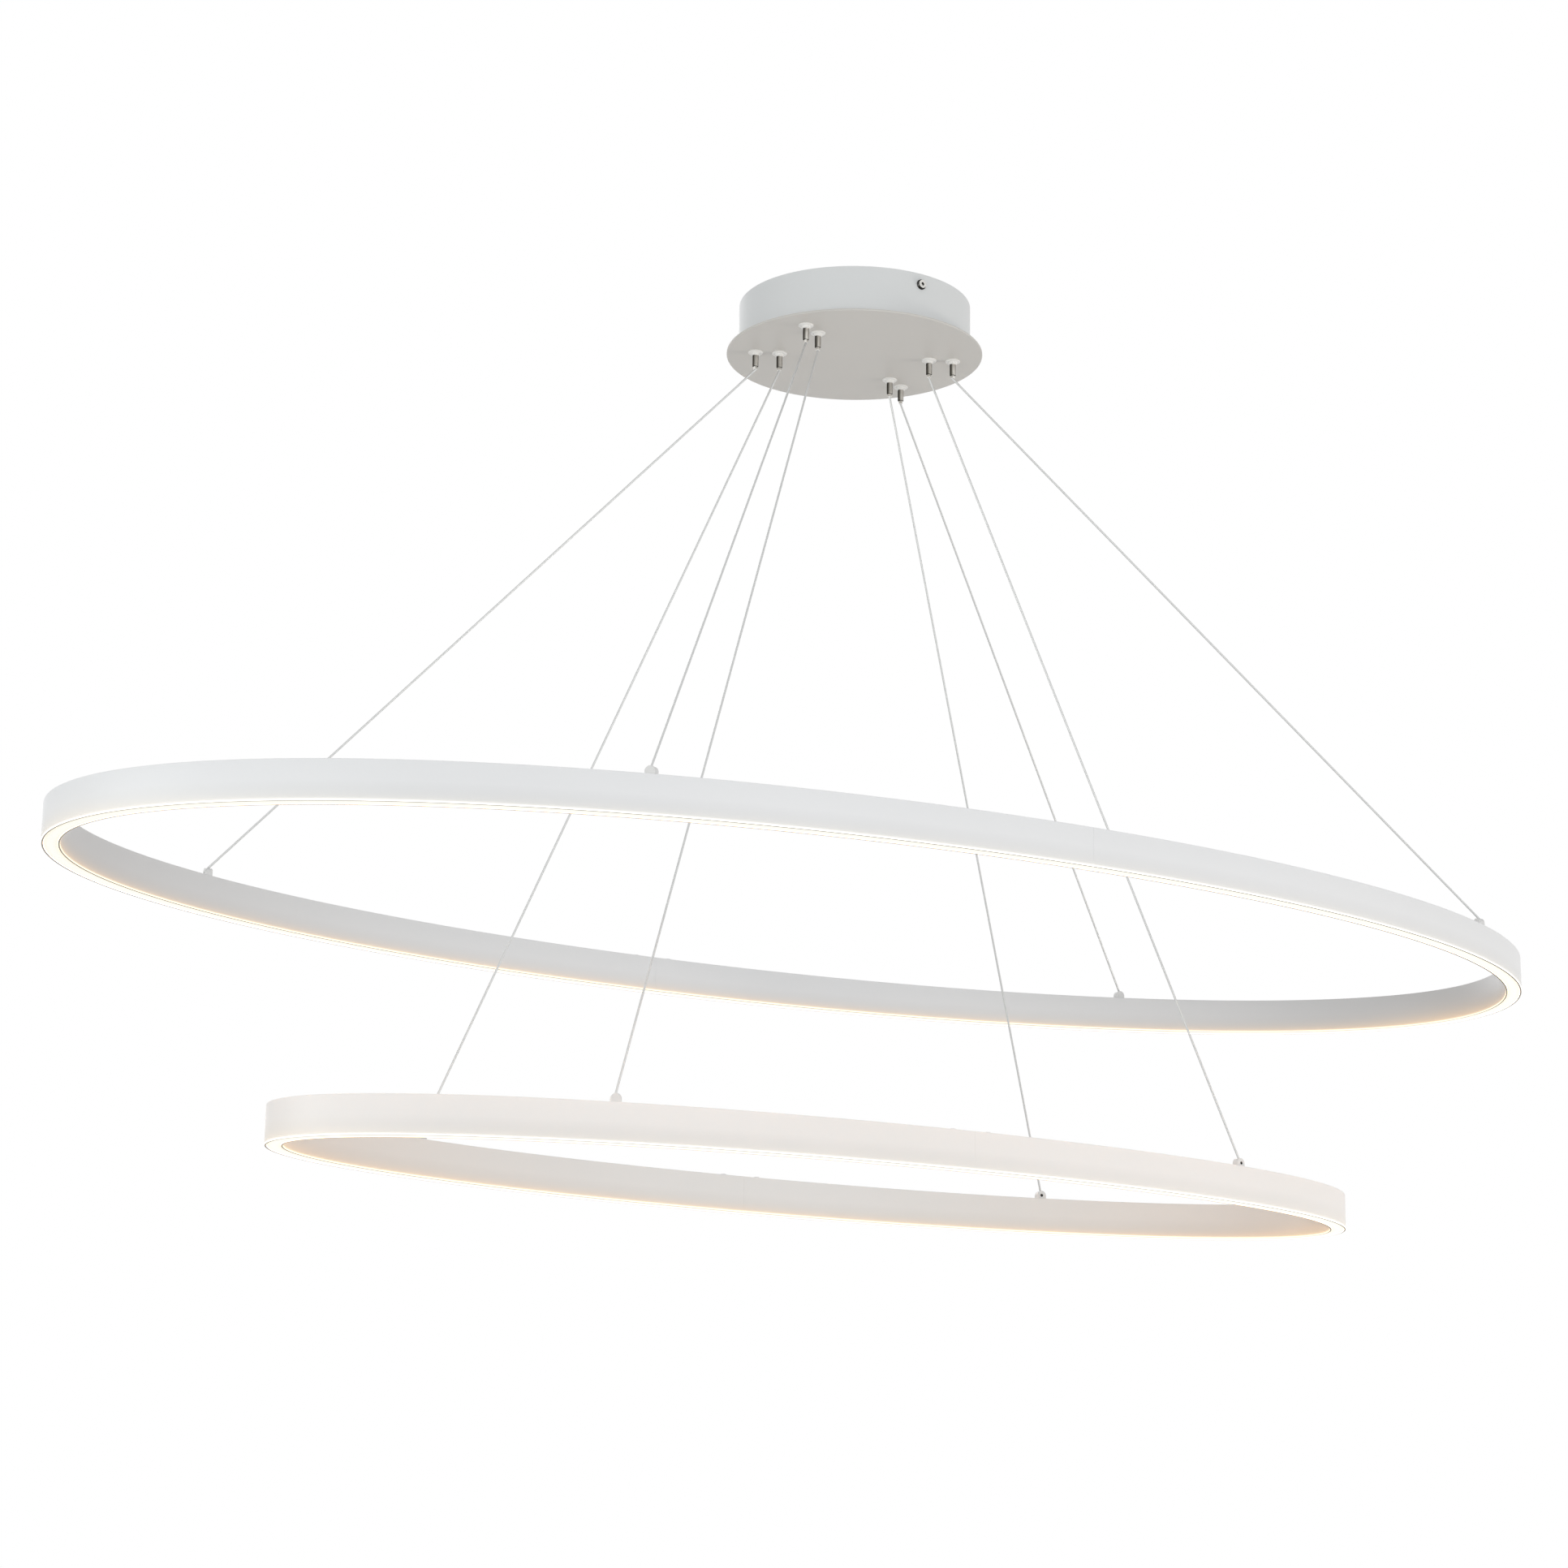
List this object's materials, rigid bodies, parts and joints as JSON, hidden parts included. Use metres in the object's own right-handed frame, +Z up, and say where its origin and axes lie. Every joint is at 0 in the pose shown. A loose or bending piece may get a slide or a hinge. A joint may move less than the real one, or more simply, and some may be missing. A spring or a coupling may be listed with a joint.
{
  "type": "led ring chandelier",
  "caption": "Pendant light with a round ceiling canopy and level oval LED rings, hung one below the other on slanted steel cables from spring grippers.",
  "frame": {"origin": "on the ceiling plane, at the middle of the canopy and of the bracket's slot pattern", "axes": "+Z up into the ceiling, X along the rings' long axis, Y along their short axis and along the bracket"},
  "size_m": [1.5, 0.708, 0.827],
  "materials": {
    "white_paint": "satin white powder coat",
    "ring_paint": "fine satin white powder coat on the profile",
    "zinc_plate": "zinc plated",
    "nickel": "satin nickel plate",
    "driver_case": "moulded, lightly textured",
    "terminal_plastic": "moulded nylon",
    "mains_insulation": "smooth sheath",
    "feed_insulation": "silicone insulation",
    "cable_steel": "fine steel strand under a clear sheath",
    "opal_diffuser": "opal, lit from behind",
    "led_board": "white flexible board with yellow phosphor chips",
    "bare_aluminium": "mill finish",
    "painted_screw": "white painted head",
    "black_screw": "black oxide"
  },
  "bodies": {
    "canopy": {"ceiling_bracket": "zinc_plate", "canopy_drum": "white_paint", "canopy_plate": "white_paint", "side_screws": "nickel", "earth_screw": "zinc_plate", "driver_nuts": "zinc_plate", "terminal_block": "terminal_plastic", "mains_leads": "mains_insulation", "feed_leads": "feed_insulation", "upper_driver": "driver_case", "lower_driver": "driver_case", "gripper_flanges": "white_paint", "gripper_nuts": "zinc_plate", "cable_tails": "cable_steel", "upper_gripper_1": "nickel", "upper_gripper_2": "nickel", "upper_gripper_3": "nickel", "upper_gripper_4": "nickel", "lower_gripper_1": "nickel", "lower_gripper_2": "nickel", "lower_gripper_3": "nickel", "lower_gripper_4": "nickel", "upper_cable_1": "cable_steel", "upper_cable_2": "cable_steel", "upper_cable_3": "cable_steel", "upper_cable_4": "cable_steel", "lower_cable_1": "cable_steel", "lower_cable_2": "cable_steel", "lower_cable_3": "cable_steel", "lower_cable_4": "cable_steel"},
    "upper_ring": {"upper_frame_left": "ring_paint", "upper_frame_right": "ring_paint", "upper_diffuser": "opal_diffuser", "upper_led_strip": "led_board", "upper_splices": "bare_aluminium", "upper_splice_screws": "painted_screw", "upper_anchors": "ring_paint", "upper_grub_screws": "black_screw", "upper_anchor_nuts": "zinc_plate"},
    "lower_ring": {"lower_frame_left": "ring_paint", "lower_frame_right": "ring_paint", "lower_diffuser": "opal_diffuser", "lower_led_strip": "led_board", "lower_splices": "bare_aluminium", "lower_splice_screws": "painted_screw", "lower_anchors": "ring_paint", "lower_grub_screws": "black_screw", "lower_anchor_nuts": "zinc_plate"},
    "upper_release_1": {"upper_plunger_1": "nickel"},
    "upper_release_2": {"upper_plunger_2": "nickel"},
    "upper_release_3": {"upper_plunger_3": "nickel"},
    "upper_release_4": {"upper_plunger_4": "nickel"},
    "lower_release_1": {"lower_plunger_1": "nickel"},
    "lower_release_2": {"lower_plunger_2": "nickel"},
    "lower_release_3": {"lower_plunger_3": "nickel"},
    "lower_release_4": {"lower_plunger_4": "nickel"}
  },
  "joints": [
    {"name": "upper_ring_height", "type": "slide", "parent": "canopy", "child": "upper_ring", "axis": [0, 0, 1], "range_m": [0, 0.3], "deforming": ["upper_cable_1", "upper_cable_2", "upper_cable_3", "upper_cable_4"]},
    {"name": "lower_ring_height", "type": "slide", "parent": "canopy", "child": "lower_ring", "axis": [0, 0, 1], "range_m": [0, 0.4], "deforming": ["lower_cable_1", "lower_cable_2", "lower_cable_3", "lower_cable_4"]},
    {"name": "upper_release_press_1", "type": "slide", "parent": "canopy", "child": "upper_release_1", "axis": [0, 0, 1], "range_m": [0, 0.002], "stiffness_N_per_m": 120, "springref_m": -0.003},
    {"name": "upper_release_press_2", "type": "slide", "parent": "canopy", "child": "upper_release_2", "axis": [0, 0, 1], "range_m": [0, 0.002], "stiffness_N_per_m": 120, "springref_m": -0.003},
    {"name": "upper_release_press_3", "type": "slide", "parent": "canopy", "child": "upper_release_3", "axis": [0, 0, 1], "range_m": [0, 0.002], "stiffness_N_per_m": 120, "springref_m": -0.003},
    {"name": "upper_release_press_4", "type": "slide", "parent": "canopy", "child": "upper_release_4", "axis": [0, 0, 1], "range_m": [0, 0.002], "stiffness_N_per_m": 120, "springref_m": -0.003},
    {"name": "lower_release_press_1", "type": "slide", "parent": "canopy", "child": "lower_release_1", "axis": [0, 0, 1], "range_m": [0, 0.002], "stiffness_N_per_m": 120, "springref_m": -0.003},
    {"name": "lower_release_press_2", "type": "slide", "parent": "canopy", "child": "lower_release_2", "axis": [0, 0, 1], "range_m": [0, 0.002], "stiffness_N_per_m": 120, "springref_m": -0.003},
    {"name": "lower_release_press_3", "type": "slide", "parent": "canopy", "child": "lower_release_3", "axis": [0, 0, 1], "range_m": [0, 0.002], "stiffness_N_per_m": 120, "springref_m": -0.003},
    {"name": "lower_release_press_4", "type": "slide", "parent": "canopy", "child": "lower_release_4", "axis": [0, 0, 1], "range_m": [0, 0.002], "stiffness_N_per_m": 120, "springref_m": -0.003}
  ]
}
